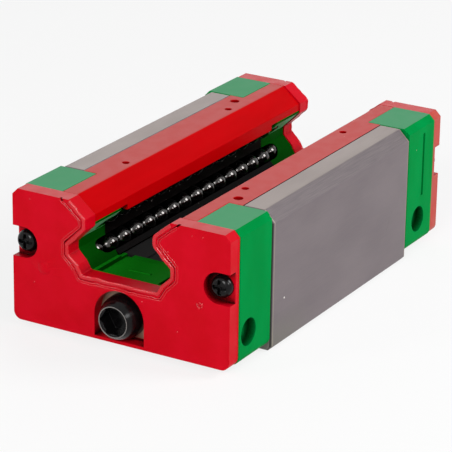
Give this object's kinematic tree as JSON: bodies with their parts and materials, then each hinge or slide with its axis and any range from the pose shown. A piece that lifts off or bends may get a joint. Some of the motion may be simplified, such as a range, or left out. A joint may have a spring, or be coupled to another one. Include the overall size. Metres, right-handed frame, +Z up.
{
  "type": "linear bearing block",
  "caption": "Narrow profile rail carriage with recirculating balls, end caps, wiper seals and strip seals, lying slot up on its mounting face.",
  "frame": {"origin": "centre of the mounting face, which is the lowest face as the block lies slot up", "axes": "+X along the rail slot towards the rear end, +Y across towards the left leg, +Z up out of the slot, away from the mounting face"},
  "size_m": [0.0816, 0.044, 0.0254],
  "materials": {
    "ground_steel": "ground",
    "green_plastic": "satin gloss",
    "red_rubber": "satin",
    "red_strip": "satin",
    "tan_plate": "passivated",
    "black_steel": "black oxide",
    "black_plastic": "satin",
    "bearing_steel": "polished"
  },
  "bodies": {
    "block": {"carriage_body": "ground_steel", "front_end_cap": "green_plastic", "front_end_seal": "red_rubber", "front_seal_plate": "tan_plate", "front_cap_screws": "black_steel", "front_grease_plug": "black_steel", "front_left_return_guide": "black_plastic", "front_right_return_guide": "black_plastic", "rear_end_cap": "green_plastic", "rear_end_seal": "red_rubber", "rear_seal_plate": "tan_plate", "rear_cap_screws": "black_steel", "rear_grease_plug": "black_steel", "rear_left_return_guide": "black_plastic", "rear_right_return_guide": "black_plastic", "left_bottom_seal": "red_strip", "left_ball_retainer": "black_plastic", "right_bottom_seal": "red_strip", "right_ball_retainer": "black_plastic"},
    "left_lower_loaded_balls": {"left_lower_loaded_balls": "bearing_steel"},
    "left_lower_return_balls": {"left_lower_return_balls": "bearing_steel"},
    "left_lower_front_turn_balls": {"left_lower_front_turn_balls": "bearing_steel"},
    "left_lower_rear_turn_balls": {"left_lower_rear_turn_balls": "bearing_steel"},
    "left_upper_loaded_balls": {"left_upper_loaded_balls": "bearing_steel"},
    "left_upper_return_balls": {"left_upper_return_balls": "bearing_steel"},
    "left_upper_front_turn_balls": {"left_upper_front_turn_balls": "bearing_steel"},
    "left_upper_rear_turn_balls": {"left_upper_rear_turn_balls": "bearing_steel"},
    "right_lower_loaded_balls": {"right_lower_loaded_balls": "bearing_steel"},
    "right_lower_return_balls": {"right_lower_return_balls": "bearing_steel"},
    "right_lower_front_turn_balls": {"right_lower_front_turn_balls": "bearing_steel"},
    "right_lower_rear_turn_balls": {"right_lower_rear_turn_balls": "bearing_steel"},
    "right_upper_loaded_balls": {"right_upper_loaded_balls": "bearing_steel"},
    "right_upper_return_balls": {"right_upper_return_balls": "bearing_steel"},
    "right_upper_front_turn_balls": {"right_upper_front_turn_balls": "bearing_steel"},
    "right_upper_rear_turn_balls": {"right_upper_rear_turn_balls": "bearing_steel"}
  },
  "joints": [
    {"name": "left_lower_loaded_slide", "type": "slide", "parent": "block", "child": "left_lower_loaded_balls", "axis": [1, 0, 0], "range_m": [-0.00204, 0.00204]},
    {"name": "left_lower_return_slide", "type": "slide", "parent": "block", "child": "left_lower_return_balls", "axis": [1, 0, 0], "range_m": [-0.00204, 0.00204]},
    {"name": "left_lower_front_turn", "type": "hinge", "parent": "block", "child": "left_lower_front_turn_balls", "pos_m": [-0.02856, 0.01414, 0.01266], "axis": [0, -0.1736, -0.9848], "range_deg": [-30, 30]},
    {"name": "left_lower_rear_turn", "type": "hinge", "parent": "block", "child": "left_lower_rear_turn_balls", "pos_m": [0.02856, 0.01414, 0.01266], "axis": [0, -0.1736, -0.9848], "range_deg": [-30, 30]},
    {"name": "left_upper_loaded_slide", "type": "slide", "parent": "block", "child": "left_upper_loaded_balls", "axis": [1, 0, 0], "range_m": [-0.00204, 0.00204]},
    {"name": "left_upper_return_slide", "type": "slide", "parent": "block", "child": "left_upper_return_balls", "axis": [1, 0, 0], "range_m": [-0.00204, 0.00204]},
    {"name": "left_upper_front_turn", "type": "hinge", "parent": "block", "child": "left_upper_front_turn_balls", "pos_m": [-0.02856, 0.01414, 0.02014], "axis": [0, 0.1736, -0.9848], "range_deg": [-30, 30]},
    {"name": "left_upper_rear_turn", "type": "hinge", "parent": "block", "child": "left_upper_rear_turn_balls", "pos_m": [0.02856, 0.01414, 0.02014], "axis": [0, 0.1736, -0.9848], "range_deg": [-30, 30]},
    {"name": "right_lower_loaded_slide", "type": "slide", "parent": "block", "child": "right_lower_loaded_balls", "axis": [1, 0, 0], "range_m": [-0.00204, 0.00204]},
    {"name": "right_lower_return_slide", "type": "slide", "parent": "block", "child": "right_lower_return_balls", "axis": [1, 0, 0], "range_m": [-0.00204, 0.00204]},
    {"name": "right_lower_front_turn", "type": "hinge", "parent": "block", "child": "right_lower_front_turn_balls", "pos_m": [-0.02856, -0.01414, 0.01266], "axis": [0, -0.1736, 0.9848], "range_deg": [-30, 30]},
    {"name": "right_lower_rear_turn", "type": "hinge", "parent": "block", "child": "right_lower_rear_turn_balls", "pos_m": [0.02856, -0.01414, 0.01266], "axis": [0, -0.1736, 0.9848], "range_deg": [-30, 30]},
    {"name": "right_upper_loaded_slide", "type": "slide", "parent": "block", "child": "right_upper_loaded_balls", "axis": [1, 0, 0], "range_m": [-0.00204, 0.00204]},
    {"name": "right_upper_return_slide", "type": "slide", "parent": "block", "child": "right_upper_return_balls", "axis": [1, 0, 0], "range_m": [-0.00204, 0.00204]},
    {"name": "right_upper_front_turn", "type": "hinge", "parent": "block", "child": "right_upper_front_turn_balls", "pos_m": [-0.02856, -0.01414, 0.02014], "axis": [0, 0.1736, 0.9848], "range_deg": [-30, 30]},
    {"name": "right_upper_rear_turn", "type": "hinge", "parent": "block", "child": "right_upper_rear_turn_balls", "pos_m": [0.02856, -0.01414, 0.02014], "axis": [0, 0.1736, 0.9848], "range_deg": [-30, 30]}
  ],
  "couplings": [
    {"joint": "left_lower_return_slide", "follows": "left_lower_loaded_slide", "ratio": -1},
    {"joint": "left_lower_front_turn", "follows": "left_lower_loaded_slide", "rad_per_m": -256.66},
    {"joint": "left_lower_rear_turn", "follows": "left_lower_loaded_slide", "rad_per_m": -256.66},
    {"joint": "left_upper_return_slide", "follows": "left_upper_loaded_slide", "ratio": -1},
    {"joint": "left_upper_front_turn", "follows": "left_upper_loaded_slide", "rad_per_m": -256.66},
    {"joint": "left_upper_rear_turn", "follows": "left_upper_loaded_slide", "rad_per_m": -256.66},
    {"joint": "right_lower_return_slide", "follows": "right_lower_loaded_slide", "ratio": -1},
    {"joint": "right_lower_front_turn", "follows": "right_lower_loaded_slide", "rad_per_m": -256.66},
    {"joint": "right_lower_rear_turn", "follows": "right_lower_loaded_slide", "rad_per_m": -256.66},
    {"joint": "right_upper_return_slide", "follows": "right_upper_loaded_slide", "ratio": -1},
    {"joint": "right_upper_front_turn", "follows": "right_upper_loaded_slide", "rad_per_m": -256.66},
    {"joint": "right_upper_rear_turn", "follows": "right_upper_loaded_slide", "rad_per_m": -256.66}
  ]
}
